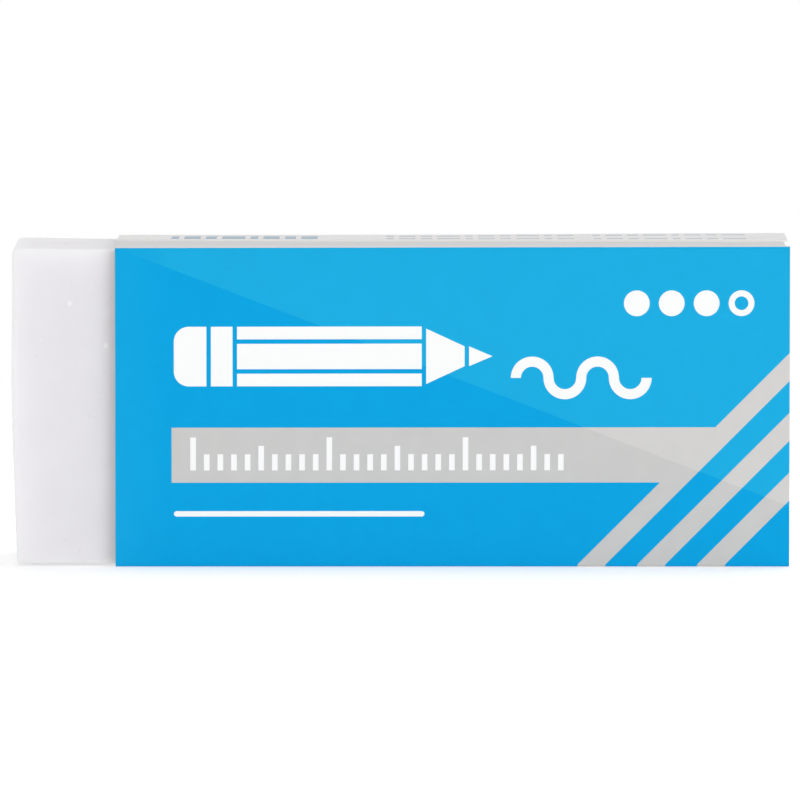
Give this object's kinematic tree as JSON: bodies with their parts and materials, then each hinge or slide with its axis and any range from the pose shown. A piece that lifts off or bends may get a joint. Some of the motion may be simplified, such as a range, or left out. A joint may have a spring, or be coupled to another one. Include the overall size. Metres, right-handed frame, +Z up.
{
  "type": "rubber eraser",
  "caption": "White vinyl eraser block with a bare end, in a folded card sleeve printed blue with a grey bar and slanting stripes; the sleeve slides along the block.",
  "frame": {"origin": "on the standing face, under the middle of the whole length and depth", "axes": "+X along the block away from its bare end, -Y out of the printed front, +Z up"},
  "size_m": [0.0572, 0.013, 0.0237],
  "materials": {
    "vinyl": "soft white vinyl, satin",
    "card": "white coated card, uncoated inside",
    "deep_blue_print": "deep cyan blue ink on coated card, slight sheen",
    "light_blue_print": "light cyan blue ink on coated card, slight sheen",
    "grey_print": "light grey ink on coated card, slight sheen"
  },
  "bodies": {
    "block": {"eraser_block": "vinyl"},
    "sleeve": {"card_sleeve": "card", "blue_ink": "deep_blue_print", "light_blue_ink": "light_blue_print", "grey_ink": "grey_print"}
  },
  "joints": [
    {"name": "sleeve_slide", "type": "slide", "parent": "block", "child": "sleeve", "axis": [1, 0, 0], "range_m": [-0.0522, 0.0443]}
  ]
}
